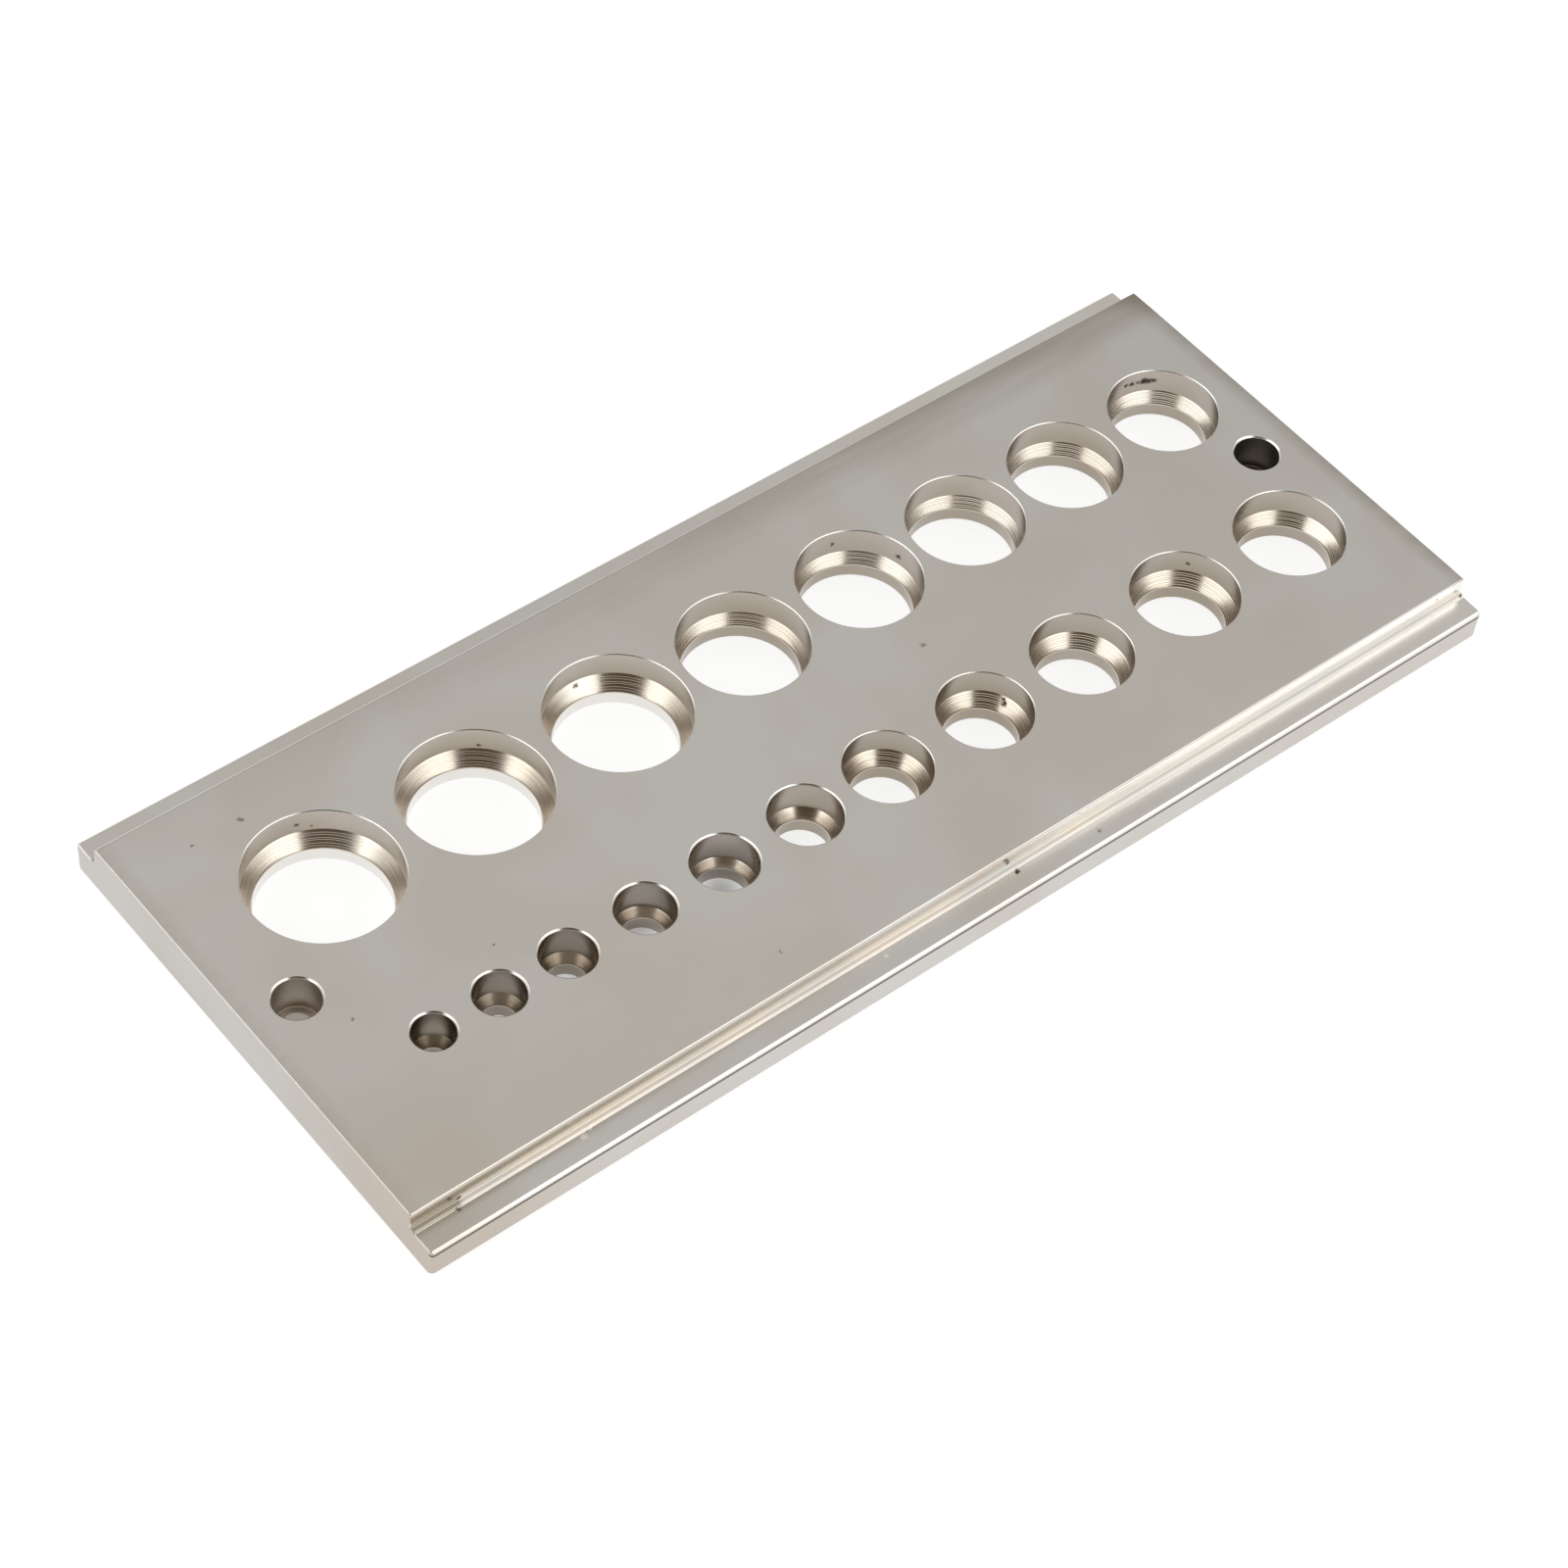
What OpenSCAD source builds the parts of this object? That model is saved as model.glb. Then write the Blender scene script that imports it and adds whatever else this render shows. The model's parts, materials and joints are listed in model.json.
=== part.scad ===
// Dowel plate: one bar of nickel-plated steel with two rows of graded, stepped holes and a rail along each side.
// The plate lies on its underside, centred on the origin, with its length along X.

/* [Plate] */
// Length of the plate
plate_length = 152; // [146:1:200]
// Width of the raised face that the holes open on
face_width = 58.4; // [54:0.1:80]
// Thickness from the underside to the face
plate_thickness = 7; // [6:0.1:12]
// Radius of the plate's upright corners
corner_radius = 0.6; // [0.2:0.1:2]

/* [Rails] */
// How far each rail stands out from the side of the face
rail_width = 3.7; // [2:0.1:8]
// Depth of the rebate, from the face down to the rail
rebate_depth = 2.7; // [1:0.1:4]
// Width of the step that the last milling pass left against the rebate's wall
step_width = 0.6; // [0.2:0.1:1.2]
// Height of that step above the rail
step_height = 0.4; // [0.1:0.1:0.8]

/* [Edges] */
// Chamfer along the long edges of the face and of the rails
long_chamfer = 0.4; // [0.1:0.05:0.8]
// Chamfer across the ends of the face and of the rails
end_chamfer = 0.15; // [0.05:0.05:0.5]
// Chamfer round the underside
base_chamfer = 0.5; // [0.1:0.1:1]

/* [Back row] */
// Bore of each hole, from the left end
back_bores = [15.5, 15, 14.5, 14, 13.5, 13, 12.5, 12]; // [2:0.5:16]
// Width of each hole's seat, between its bore and its counterbore
back_seat_widths = [1.3, 1.35, 1.35, 0.8, 0.8, 0.65, 0.75, 0.75]; // [0.5:0.05:1.5]
// Height of each hole's seat
back_seat_heights = [1.8, 1.8, 1.8, 1.5, 1.5, 1.6, 1.6, 1.6]; // [0.5:0.1:2.5]
// Webs between neighbouring counterbores, as shares of the metal that the row leaves
back_webs = [2.4, 2.3, 1.6, 1.9, 1.5, 1.6, 2.1]; // [1:0.1:4]
// Distance from the left end to the first counterbore
back_margin = 8.9; // [4:0.1:12]
// Distance from the last counterbore to the right end
back_end_margin = 4.1; // [2:0.1:10]

/* [Front row] */
// Bore of each hole, from the left end
front_bores = [3, 4, 4.5, 5, 6, 6.5, 8, 9, 10, 11, 11.5]; // [2:0.5:16]
// Width of each hole's seat, between its bore and its counterbore
front_seat_widths = [0.95, 0.95, 0.95, 0.95, 0.9, 1.05, 1.2, 1.15, 1.1, 1.05, 1]; // [0.5:0.05:1.5]
// Height of each hole's seat
front_seat_heights = [1.1, 1.1, 1, 0.9, 0.9, 1.1, 1.8, 1.8, 1.8, 1.8, 1.6]; // [0.5:0.1:2.5]
// Webs between neighbouring counterbores, as shares of the metal that the row leaves
front_webs = [3.2, 2.9, 3.8, 3.6, 3.2, 2.4, 3.5, 3, 3.5, 3.5]; // [1:0.1:5]
// Distance from the left end to the first counterbore
front_margin = 13; // [4:0.1:20]
// Distance from the last counterbore to the right end
front_end_margin = 5.3; // [2:0.1:12]

/* [Both rows] */
// Distance of each row from the plate's centre line
row_offset = 11.85; // [11:0.05:15]
// Depth of each seat's foot, the sharp edge where the bore begins
seat_foot_depth = 5; // [4:0.1:5.6]
// Chamfer that breaks the edge of every hole in the face
mouth_chamfer = 0.2; // [0.05:0.05:0.4]
// Chamfer that breaks the edge of every hole in the underside
exit_chamfer = 0.2; // [0.05:0.05:0.4]

/* [Screw holes] */
// Distance of each screw hole from its end of the plate
screw_inset = 6.3; // [4.5:0.1:8]
// Clearance bore for the screw's shank
screw_bore = 3.6; // [2.5:0.1:4.5]
// Diameter of the recess that sinks the screw's head
head_bore = 5.4; // [5:0.1:7]
// Depth of that recess
head_depth = 5; // [2:0.1:5.5]

/* [Hidden] */
$fn = 96;
// How far a cutting tool runs past the surface that it cuts
overrun = 1;
rail_top = plate_thickness - rebate_depth;
step_top = rail_top + step_height;
step_span = face_width + 2 * step_width;
plate_width = face_width + 2 * rail_width;

// Sum of the first n entries of a list
function total(list, n) = n <= 0 ? 0 : list[n - 1] + total(list, n - 1);

// Places of a row's holes along X: the webs share the length that the counterbores and the margins leave
function row_places(mouths, webs, margin, end_margin) =
    let (spare = plate_length - margin - end_margin - total(mouths, len(mouths)))
    let (share = spare / total(webs, len(webs)))
    [for (i = [0 : len(mouths) - 1])
        margin - plate_length / 2 + total(mouths, i) + share * total(webs, i) + mouths[i] / 2];

back_mouths = back_bores + 2 * back_seat_widths;
front_mouths = front_bores + 2 * front_seat_widths;
back_places = row_places(back_mouths, back_webs, back_margin, back_end_margin);
front_places = row_places(front_mouths, front_webs, front_margin, front_end_margin);

// Plan of the plate: a rectangle with rounded corners
module plan() {
    square([plate_length - 2 * corner_radius, plate_width], center = true);
    square([plate_length, plate_width - 2 * corner_radius], center = true);
    for (x = [-1, 1], y = [-1, 1])
        translate([x * (plate_length / 2 - corner_radius), y * (plate_width / 2 - corner_radius)])
            circle(r = corner_radius);
}

// Right side of the cross section, from the underside up over the rail and the step to the face
right_side = [
    [plate_width / 2 - base_chamfer, 0],
    [plate_width / 2, base_chamfer],
    [plate_width / 2, rail_top - long_chamfer],
    [plate_width / 2 - long_chamfer, rail_top],
    [step_span / 2, rail_top],
    [step_span / 2, step_top],
    [face_width / 2, step_top],
    [face_width / 2, plate_thickness - long_chamfer],
    [face_width / 2 - long_chamfer, plate_thickness],
];
left_side = [for (i = [len(right_side) - 1 : -1 : 0]) [-right_side[i][0], right_side[i][1]]];

// The bar as the mill leaves it along its whole length
module milled_bar() {
    rotate([90, 0, 90])
        linear_extrude(plate_length, center = true)
            polygon(concat(right_side, left_side));
}

// One level of the bar, from the underside to its top, with chamfered ends
module ended_level(width, top) {
    low = plate_length / 2 - base_chamfer;
    high = plate_length / 2 - end_chamfer;
    rotate([90, 0, 0])
        linear_extrude(width, center = true)
            polygon([
                [-low, 0],
                [low, 0],
                [plate_length / 2, base_chamfer],
                [plate_length / 2, top - end_chamfer],
                [high, top],
                [-high, top],
                [-plate_length / 2, top - end_chamfer],
                [-plate_length / 2, base_chamfer],
            ]);
}

// Tool that cuts one stepped hole: bore, seat and counterbore, with its edges broken above and below
module stepped_hole(bore, mouth, foot_depth, seat_height) {
    foot = plate_thickness - foot_depth;
    rotate_extrude()
        polygon([
            [0, -overrun],
            [bore / 2 + exit_chamfer + overrun, -overrun],
            [bore / 2, exit_chamfer],
            [bore / 2, foot],
            [mouth / 2, foot + seat_height],
            [mouth / 2, plate_thickness - mouth_chamfer],
            [mouth / 2 + mouth_chamfer + overrun, plate_thickness + overrun],
            [0, plate_thickness + overrun],
        ]);
}

module back_row() {
    for (i = [0 : len(back_bores) - 1])
        translate([back_places[i], row_offset, 0])
            stepped_hole(back_bores[i], back_mouths[i], seat_foot_depth, back_seat_heights[i]);
}

module front_row() {
    for (i = [0 : len(front_bores) - 1])
        translate([front_places[i], -row_offset, 0])
            stepped_hole(front_bores[i], front_mouths[i], seat_foot_depth, front_seat_heights[i]);
}

// The two screw holes have a flat floor in place of a seat
module screw_holes() {
    for (side = [-1, 1])
        translate([side * (plate_length / 2 - screw_inset), 0, 0])
            stepped_hole(screw_bore, head_bore, head_depth, 0);
}

module plate() {
    color([0.72, 0.69, 0.66])
        difference() {
            intersection() {
                milled_bar();
                linear_extrude(plate_thickness) plan();
                union() {
                    ended_level(face_width, plate_thickness);
                    ended_level(step_span, step_top);
                    ended_level(plate_width, rail_top);
                }
            }
            back_row();
            front_row();
            screw_holes();
        }
}

plate();
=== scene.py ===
# %% [markdown]
# A dowel plate, from one bar of steel
#
# A dowel plate is a bar full of graded holes. A roughly split peg is driven down through one hole after
# another, and each hole shaves it rounder and thinner. This one is milled, drilled and nickel-plated. The
# lesson builds the whole bar as one closed skin: numpy works out each surface from a short formula, and
# Blender fills the flats between them and sews everything together.
#
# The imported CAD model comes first. It is the frame: it says where everything is, and nothing in it is
# moved.

# %% Load the frame
import json
import math

import bmesh
import bpy
import numpy as np
from mathutils import Matrix, Vector
from mathutils.geometry import delaunay_2d_cdt


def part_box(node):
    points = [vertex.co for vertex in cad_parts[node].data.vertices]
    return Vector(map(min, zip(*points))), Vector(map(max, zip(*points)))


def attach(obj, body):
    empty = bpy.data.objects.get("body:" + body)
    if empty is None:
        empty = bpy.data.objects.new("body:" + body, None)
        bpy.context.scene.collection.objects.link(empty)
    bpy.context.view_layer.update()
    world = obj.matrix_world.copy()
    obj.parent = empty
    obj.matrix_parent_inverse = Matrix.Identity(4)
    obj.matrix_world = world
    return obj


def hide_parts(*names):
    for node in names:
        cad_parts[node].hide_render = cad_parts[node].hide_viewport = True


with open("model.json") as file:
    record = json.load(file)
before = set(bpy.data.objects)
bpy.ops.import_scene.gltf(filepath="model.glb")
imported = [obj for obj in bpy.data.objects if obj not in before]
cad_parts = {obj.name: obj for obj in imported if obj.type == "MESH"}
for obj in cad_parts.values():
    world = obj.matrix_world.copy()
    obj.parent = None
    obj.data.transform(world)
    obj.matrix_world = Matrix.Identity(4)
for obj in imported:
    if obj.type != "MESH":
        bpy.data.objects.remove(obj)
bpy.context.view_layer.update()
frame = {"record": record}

# %% [markdown]
# Working in millimetres
#
# A machinist reads a drawing in millimetres, so every size below is in millimetres too. One factor turns
# them into Blender's metres when a mesh is made.

# %% Sizes of the bar
MM = 0.001
low, high = (np.array(corner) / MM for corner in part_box("plate"))
LENGTH, WIDTH, THICKNESS = (float(size) for size in high - low)
FACE_WIDTH = 58.4
RAIL_TOP = 4.3
STEP_TOP = 4.7
STEP_WIDTH = 0.6
STEP_LEAN = 0.09
SEAT_FOOT = 2.0
print(f"bar {LENGTH:.1f} x {WIDTH:.1f} x {THICKNESS:.1f} mm")

# %% [markdown]
# The holes
#
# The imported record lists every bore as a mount, with its place and radius, so the picture can't drift away
# from the CAD. What the record doesn't hold is the wide upper part of each hole, so the counterbores are
# listed here: how much wider each one is than its bore, and how tall the seat between the two is.

# %% Hole table
SEAT_WIDTHS = [1.3, 1.35, 1.35, 0.8, 0.8, 0.65, 0.75, 0.75] + [
    0.95, 0.95, 0.95, 0.95, 0.9, 1.05, 1.2, 1.15, 1.1, 1.05, 1.0]
SEAT_HEIGHTS = [1.8, 1.8, 1.8, 1.5, 1.5, 1.6, 1.6, 1.6] + [
    1.1, 1.1, 1.0, 0.9, 0.9, 1.1, 1.8, 1.8, 1.8, 1.8, 1.6]
HEAD_RADIUS = 2.7
HEAD_FLOOR = 2.0

bores = [mount for mount in frame["record"]["mounts"] if mount["kind"] == "bore"]
dies = [mount for mount in bores if mount["name"].startswith("die")]
screws = [mount for mount in bores if mount["name"].startswith("screw")]
die_middles = np.array([mount["pos_m"][:2] for mount in dies]) / MM
die_radii = np.array([mount["dims"]["r_mm"] for mount in dies])
screw_middles = np.array([mount["pos_m"][:2] for mount in screws]) / MM
screw_radius = screws[0]["dims"]["r_mm"]
print(len(dies), "dies from", 2 * die_radii.min(), "to", 2 * die_radii.max(), "mm")
print(len(screws), "screw holes of", 2 * screw_radius, "mm")

# %% [markdown]
# The camera
#
# The photograph was taken from above the near left corner with a long lens, and the camera was tilted a
# little to one side. It could be aimed with a Track To constraint, which leaves no room for that tilt. So the
# camera is described as a photographer would say it: where it is aimed, from how far, from which side, and
# how much it is rolled.

# %% Camera
AIM = Vector((-7.267, -5.004, 3.5)) * MM
DISTANCE = 468.3 * MM
AZIMUTH = math.radians(44.271)
ELEVATION = math.radians(50.264)
ROLL = math.radians(6.885)
LENS_MM = 96.02
SENSOR_MM = 36.0

level = Vector((math.sin(AZIMUTH), math.cos(AZIMUTH), 0))
rightward = Vector((math.cos(AZIMUTH), -math.sin(AZIMUTH), 0))
forward = level * math.cos(ELEVATION) - Vector((0, 0, math.sin(ELEVATION)))
upward = rightward.cross(forward)
camera_x = rightward * math.cos(ROLL) + upward * math.sin(ROLL)
camera_y = upward * math.cos(ROLL) - rightward * math.sin(ROLL)
turn = Matrix((camera_x, camera_y, -forward)).transposed().to_4x4()

camera_data = bpy.data.cameras.new("camera")
camera_data.lens = LENS_MM
camera_data.sensor_width = SENSOR_MM
camera_data.clip_start = 0.01
camera = bpy.data.objects.new("camera", camera_data)
bpy.context.scene.collection.objects.link(camera)
camera.matrix_world = Matrix.Translation(AIM - forward * DISTANCE) @ turn
bpy.context.scene.camera = camera
bpy.context.scene.view_settings.view_transform = "Standard"
print("camera stands at", [round(v / MM, 1) for v in camera.matrix_world.translation], "mm")

# %% [markdown]
# Easing a corner
#
# No real edge is perfectly sharp. A cutter leaves a tiny radius, plating rounds it further, and that radius
# is what catches the light as a bright line. So each outline is first given as a few corner points, and
# then every corner is eased: it is replaced by a short parabola that leaves the line just before the corner
# and joins the next line just after it. A guard point a little further out on each side keeps the flat
# beyond it truly flat when Blender smooths the normals.

# %% Eased outlines
GUARD = 0.07


def eased(corners, reaches, steps=4, guard=GUARD):
    """
    Open line through corner points, made denser. With S and E at `reach` before and after corner P, the
    arc is (1-t)^2 S + 2t(1-t) P + t^2 E. Columns past the second ride along. Both ends stay as they are.
    """
    corners = np.asarray(corners, float)
    inner, before, after = corners[1:-1], corners[:-2], corners[2:]
    reach = np.asarray(reaches, float)[1:-1]

    def toward(other, distance):
        step = np.linalg.norm(other[:, :2] - inner[:, :2], axis=1)
        return inner + np.minimum(distance / step, 0.5)[:, None] * (other - inner)

    t = np.linspace(0, 1, steps + 1)[None, :, None]
    start, end = toward(before, reach)[:, None], toward(after, reach)[:, None]
    arc = (1 - t) ** 2 * start + 2 * t * (1 - t) * inner[:, None] + t**2 * end
    if guard:
        guards = [toward(other, reach + guard)[:, None] for other in (before, after)]
        arc = np.concatenate([guards[0], arc, guards[1]], 1)
    return np.concatenate([corners[:1], arc.reshape(-1, corners.shape[1]), corners[-1:]])


# %% [markdown]
# The cross section
#
# The bar is nearly the same all along its length: a flat underside with broken edges, a rail along each
# side, a small step that a second milling pass left at the foot of the rebate, and the raised face. The
# outline is drawn for one side and mirrored for the other. Its third column says how far the bar's two ends
# are rounded over at that point: most at the upright corners, which a file took off, and least across the
# face, which keeps a crisp edge. The break along the face's own edges was filed by hand, and it gets
# narrower from left to right, so there is one section for each end.

# %% Corners of the cross section
half_width, half_face = WIDTH / 2, FACE_WIDTH / 2
BASE_BREAK, RAIL_BREAK = 0.5, 0.4
SIDE = np.array([
    # across, height, end rounding, reach of the ease
    (half_width - 1.2, 0.0, 0.40, 0.0),
    (half_width - BASE_BREAK, 0.0, 0.40, 0.16),
    (half_width, BASE_BREAK, 0.60, 0.16),
    (half_width, 2.0, 0.60, 0.30),
    (half_width, RAIL_TOP - RAIL_BREAK, 0.45, 0.14),
    (half_width - RAIL_BREAK, RAIL_TOP, 0.22, 0.14),
    (half_face + STEP_WIDTH + STEP_LEAN, RAIL_TOP, 0.12, 0.05),
    (half_face + STEP_WIDTH - STEP_LEAN, STEP_TOP - 2 * STEP_LEAN, 0.12, 0.06),
    (half_face, STEP_TOP, 0.12, 0.10),
    (half_face, THICKNESS, 0.12, 0.50),
    (half_face, THICKNESS, 0.16, 0.20),
    (half_face - 0.8, THICKNESS, 0.16, 0.0),
])
EDGE_ROWS = [9, 10]
EDGE_BREAK_LEFT, EDGE_BREAK_RIGHT = 0.28, 0.11


def corners_with(edge_break):
    """The whole outline's corner table, once the break along the face's edges is cut off its two corners."""
    side = SIDE.copy()
    side[EDGE_ROWS, [1, 0]] -= edge_break
    return np.concatenate([side, side[::-1] * [-1, 1, 1, 1]])


corners_left, corners_right = corners_with(EDGE_BREAK_LEFT), corners_with(EDGE_BREAK_RIGHT)
print("corners of the section:", len(corners_left))

# %% [markdown]
# Rounding the ends over
#
# A Bevel modifier rounds all edges of the end alike unless each one gets its own weight, and here every
# corner has a rounding of its own. So the outline shrinks as it runs out to the end plane, along a quarter
# circle: at angle a, a corner with the rounding R has moved in by R(1 - sin a) and stands R(1 - cos a) short
# of the end. The corners move first and are eased afterwards, so that the small curves never fold over
# themselves.

# %% Outline at one place along the bar
SPAN_POINTS = 25


def mitres(line):
    """Outward mitre at each corner of a closed outline: (n + m) / (1 + n.m), n and m its edges' normals."""
    edge = np.roll(line, -1, 0) - line
    normal = np.stack([edge[:, 1], -edge[:, 0]], 1) / np.linalg.norm(edge, axis=1)[:, None]
    previous = np.roll(normal, 1, 0)
    return (normal + previous) / (1 + (normal * previous).sum(1))[:, None]


def outline_at(corners, angle, margin=0.0):
    """
    The closed outline at `angle` of the end rounding, moved in by a margin. Its three columns are the place
    across, the height, and how far it stands short of the end.
    """
    inset = corners[:, 2] * (1 - np.sin(angle)) + margin
    moved = corners[:, :2] - inset[:, None] * mitres(corners[:, :2])
    table = np.column_stack([moved, corners[:, 2] * (1 - np.cos(angle))])
    halves = zip(np.split(table, 2), np.split(corners[:, 3], 2))
    back, front = (eased(rows, reaches) for rows, reaches in halves)
    across_face = np.linspace(back[-1], front[0], SPAN_POINTS)[1:-1]
    across_base = np.linspace(front[-1], back[0], SPAN_POINTS)[1:-1]
    return np.concatenate([back, across_face, front, across_base])


section = outline_at(corners_left, np.pi / 2)
side_count = len(section) // 2 - SPAN_POINTS + 2
face_span = np.arange(side_count - 1, side_count - 1 + SPAN_POINTS)
base_span = (face_span + len(section) // 2) % len(section)
print("cross section:", len(section), "points,", side_count, "of them on each side")

# %% [markdown]
# Patches that share their edges
#
# The holes could be cut out of a solid bar with Boolean modifiers, but these leave thin slivers round each
# rim, and smooth shading turns slivers into streaks. So the skin is sewn from patches: grids for the milled
# sides and the turned holes, and flat pieces between them. Each patch is worked out so that its border points
# are exactly its neighbour's, so one merge at the end closes every seam. A small basket collects the patches
# with the finish that each one takes.

# %% Patch basket
FINISHES = ["face", "ground", "faced", "ledge", "stepped", "milled", "bored", "turned", "drilled"]
basket = {"points": [], "faces": [], "finish": [], "count": 0}


def add_patch(points, faces, finish):
    """Keeps a patch: points in millimetres, faces as rows of point numbers, and one finish or many."""
    faces = np.asarray(faces)
    finish = np.broadcast_to(np.asarray(finish, dtype=object), len(faces))
    basket["points"].append(np.asarray(points, float))
    basket["faces"] += (faces + basket["count"]).tolist()
    basket["finish"] += [FINISHES.index(name) for name in finish]
    basket["count"] += len(points)


def grid_faces(rows, columns, around=False):
    """Quads of a grid of points, numbered row by row. `around` joins the last column to the first."""
    r = np.arange(rows - 1)[:, None]
    c = np.arange(columns if around else columns - 1)[None, :]
    d = (c + 1) % columns
    return np.stack([r * columns + c, r * columns + d, (r + 1) * columns + d, (r + 1) * columns + c], -1)


# %% [markdown]
# Buffing
#
# A cloth wheel rides over the edges of a flat face and lowers them by a few hundredths of a millimetre.
# Nobody can see that as a shape, but a mirror-like face shows it at once as a soft darker border. So the
# top surface is lowered by a parabola near its borders.

# %% Buffed roll-off
ROLL_OFF = 0.06
ROLL_SIDE, ROLL_END = 4.0, 3.0


def buffed(points):
    """Lowers points near the top by ROLL_OFF * (1 - d/D)^2, with d the distance in from a face's border."""
    x, y, z = np.asarray(points, float).T
    from_side = np.clip(1 - (half_face - np.abs(y)) / ROLL_SIDE, 0, 1)
    from_end = np.clip(1 - (LENGTH / 2 - np.abs(x)) / ROLL_END, 0, 1)
    near_top = np.clip((z - STEP_TOP) / (THICKNESS - STEP_TOP), 0, 1)
    return np.stack([x, y, z - ROLL_OFF * near_top * (from_side**2 + from_end**2)], 1)


# %% [markdown]
# Carrying the section along the bar
#
# The section is carried along X as one grid, from the left section to the right one, with the shrinking
# outlines at each end, and a flat cap closes it. The grid is left open over the face and the underside,
# where the holes come. Each strip of it takes the finish of its own height.

# %% Rings along the bar
END_STEPS = 5
STATIONS = 41
angles = np.linspace(0, np.pi / 2, END_STEPS + 1)
left_end, right_end = (
    np.stack([outline_at(corners, 0, GUARD), *(outline_at(corners, angle) for angle in angles)])
    for corners in (corners_left, corners_right))
end_x = LENGTH / 2 - left_end[..., 2]
left_rings = np.concatenate([-end_x[..., None], left_end[..., :2]], -1)
right_rings = np.concatenate([end_x[..., None], right_end[..., :2]], -1)[::-1]
share = np.linspace(0, 1, STATIONS)[:, None]
span_x = (2 * share - 1) * (end_x[-1] - GUARD)
span_yz = (1 - share[..., None]) * left_end[-1, :, :2] + share[..., None] * right_end[-1, :, :2]
span_rings = np.concatenate([span_x[..., None], span_yz], -1)
rings = np.concatenate([left_rings, span_rings, right_rings])
first_station = len(left_rings)
last_station = first_station + STATIONS - 1
print("rings along the bar:", len(rings))

# %% Sides and ends
quads = grid_faces(*rings.shape[:2], around=True)
open_row = np.zeros(len(rings) - 1, bool)
open_row[first_station:last_station] = True
open_column = np.zeros(len(section), bool)
open_column[face_span[:-1]] = True
open_column[base_span[:-1]] = True
kept = ~(open_row[:, None] & open_column[None, :])

# Going up, each finish takes over past a height that lies close to the corner where its surface begins.
middle_height = (section[:, 1] + np.roll(section[:, 1], -1)) / 2
segment_finish = np.full(len(section), "ground", dtype=object)
for finish, lowest in [("ledge", RAIL_TOP - 0.42), ("stepped", RAIL_TOP + 0.05), ("milled", STEP_TOP + 0.05),
                       ("face", THICKNESS - EDGE_BREAK_LEFT - 0.08)]:
    segment_finish[middle_height > lowest] = finish
add_patch(buffed(rings.reshape(-1, 3)), quads[kept], np.broadcast_to(segment_finish, kept.shape)[kept])
for cap in (rings[0], rings[-1]):
    add_patch(buffed(cap), [np.arange(len(cap))], "faced")
print("sides and ends:", int(kept.sum()), "faces")

# %% [markdown]
# One turned hole
#
# A hole is a profile turned round its axis. From the top down it has a broken edge, the straight wall of the
# counterbore, the seat, the straight bore that does the shaving, and a broken edge at the underside. The
# break round the mouth was cut with a hand countersink, deeper on the narrow holes than on the wide ones.
#
# The seat isn't one smooth cone: the cutter went down in many small bites, and each bite left its own
# sloping facet with an upright lip under it. The facets all have one slope, so they catch the same light,
# and the lips are the fine rings between them. Real bites are too fine to show, so seven stand for them.

# %% Breaks at both mouths of a hole
WIDE_BREAK, NARROW_BREAK = 0.15, 0.24
BREAK_CHANGES = [3.5, 5.0]
EXIT_BREAK = 0.2
FLAT_RING = 0.12
EASE, EXIT_EASE = 0.05, 0.06
MOUTH_BREAK_RINGS = 9


def mouth_profile(wall, mouth_break):
    """From a flat ring of the face over the 45 degree break to the top of the wall: radius and height."""
    rim = wall + mouth_break
    corners = [(rim + FLAT_RING, THICKNESS), (rim, THICKNESS), (wall, THICKNESS - mouth_break),
               (wall, THICKNESS - 0.6)]
    return eased(corners, [0, EASE, EASE, 0], steps=2)


def exit_profile(bore):
    """From the bore's lower end over its 45 degree break to a flat ring of the underside."""
    rim = bore + EXIT_BREAK
    corners = [(bore, 0.5), (bore, EXIT_BREAK), (rim, 0), (rim + FLAT_RING, 0)]
    return eased(corners, [0, EXIT_EASE, EXIT_EASE, 0], steps=2)


# %% Seat of a die
BITES = np.array([1.3, 0.8, 1.1, 0.6, 1.2, 0.9, 1.1])
FACET_SLOPE = math.tan(math.radians(48))


def seat_corners(bore, width, height):
    """
    Corners of the seat from its top rim to its foot. Each bite takes its share of the width and drops by
    that share times the slope. An equal lip under each bite but the last takes up the height left over.
    """
    steps = width * BITES / BITES.sum()
    lip = (height - width * FACET_SLOPE) / (len(BITES) - 1)
    radius = bore + width - np.cumsum(steps)[:-1]
    lower = SEAT_FOOT + height - np.cumsum(steps * FACET_SLOPE + lip)[:-1] + lip
    lips = [(r, z) for r, foot in zip(radius, lower) for z in (foot, foot - lip)]
    return [(bore + width, SEAT_FOOT + height), *lips, (bore, SEAT_FOOT)]


# %% Whole profiles
def die_profile(bore, width, height):
    """Radius, height and finish down a stepped hole, from a ring of the face to one of the underside."""
    wall = bore + width
    mouth = mouth_profile(wall, np.interp(wall, BREAK_CHANGES, [NARROW_BREAK, WIDE_BREAK]))
    facets = seat_corners(bore, width, height)
    foot = eased([facets[-2], facets[-1], (bore, SEAT_FOOT - 0.15)], [0, 0.08, 0], steps=2, guard=0)
    seat = np.concatenate([facets[:-2], foot])
    leave = exit_profile(bore)
    finish = ["face"] * MOUTH_BREAK_RINGS + ["bored"] * (len(mouth) - MOUTH_BREAK_RINGS)
    finish += ["turned"] * (len(seat) - 1) + ["bored"] * len(leave)
    return np.concatenate([mouth, seat, leave]), finish


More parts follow.
